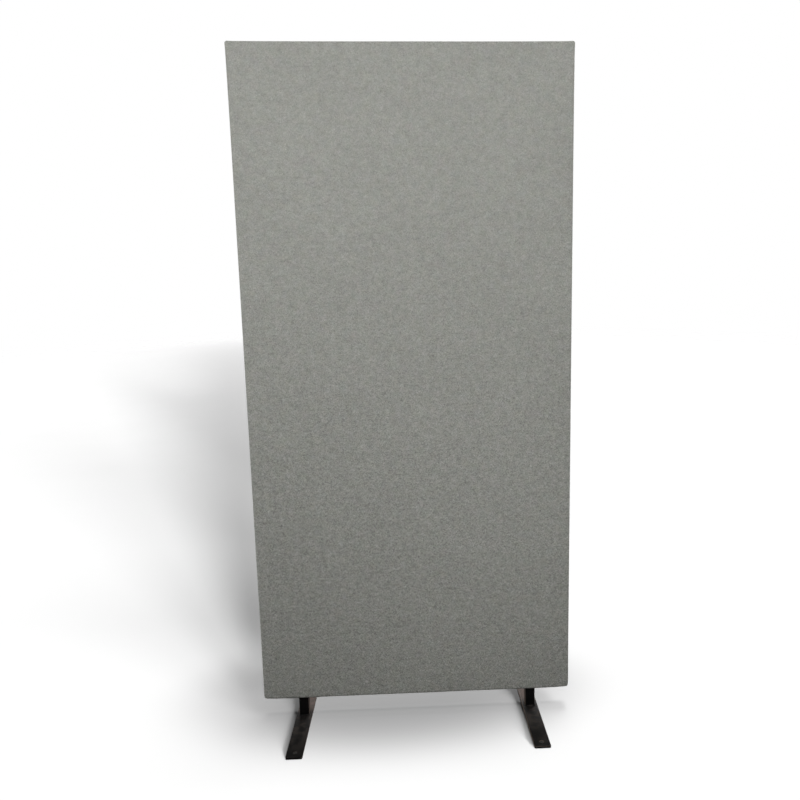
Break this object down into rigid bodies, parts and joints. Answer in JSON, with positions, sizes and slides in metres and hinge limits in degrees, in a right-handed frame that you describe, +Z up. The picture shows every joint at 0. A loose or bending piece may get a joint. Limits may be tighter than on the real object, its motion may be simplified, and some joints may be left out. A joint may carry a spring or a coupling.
{
  "type": "acoustic divider screen",
  "caption": "Free-standing cloth-covered sound absorbing panel, upright and flat, on T-shaped steel feet with flat base bars and short square uprights.",
  "frame": {"origin": "on the floor under the middle of the panel, midway between the two feet and midway along their base bars", "axes": "+X to the right along the panel seen from the front, +Y from the front face to the back face, +Z up"},
  "size_m": [0.8, 0.4, 1.6625],
  "materials": {
    "cloth": "woven wool cloth, grey melange of light and dark yarns",
    "wadding": "white polyester wadding",
    "absorber": "pressed fibre batt",
    "timber": "planed softwood, untreated",
    "strip_felt": "black non-woven strip",
    "powder_coat": "black powder coat, semi-gloss, dusty and lightly scuffed",
    "black_steel": "blackened steel",
    "plated_steel": "zinc plated, yellowish",
    "staple_wire": "galvanised wire",
    "glide_plastic": "black nylon"
  },
  "bodies": {
    "root": {"left_stile": "timber", "right_stile": "timber", "top_rail": "timber", "cross_rail": "timber", "bottom_rail": "timber", "frame_screws": "plated_steel", "upper_core": "absorber", "lower_core": "absorber", "front_wadding": "wadding", "rear_wadding": "wadding", "front_cover": "cloth", "rear_cover": "cloth", "cover_staples": "staple_wire", "bottom_strip": "strip_felt", "strip_staples": "staple_wire", "thread_inserts": "plated_steel", "left_top_plate": "powder_coat", "right_top_plate": "powder_coat", "left_upright": "powder_coat", "right_upright": "powder_coat", "left_welds": "powder_coat", "right_welds": "powder_coat", "left_base_bar": "powder_coat", "right_base_bar": "powder_coat", "foot_screws": "black_steel", "foot_washers": "black_steel", "left_glides": "glide_plastic", "right_glides": "glide_plastic", "left_glide_rivets": "black_steel", "right_glide_rivets": "black_steel"}
  },
  "joints": []
}
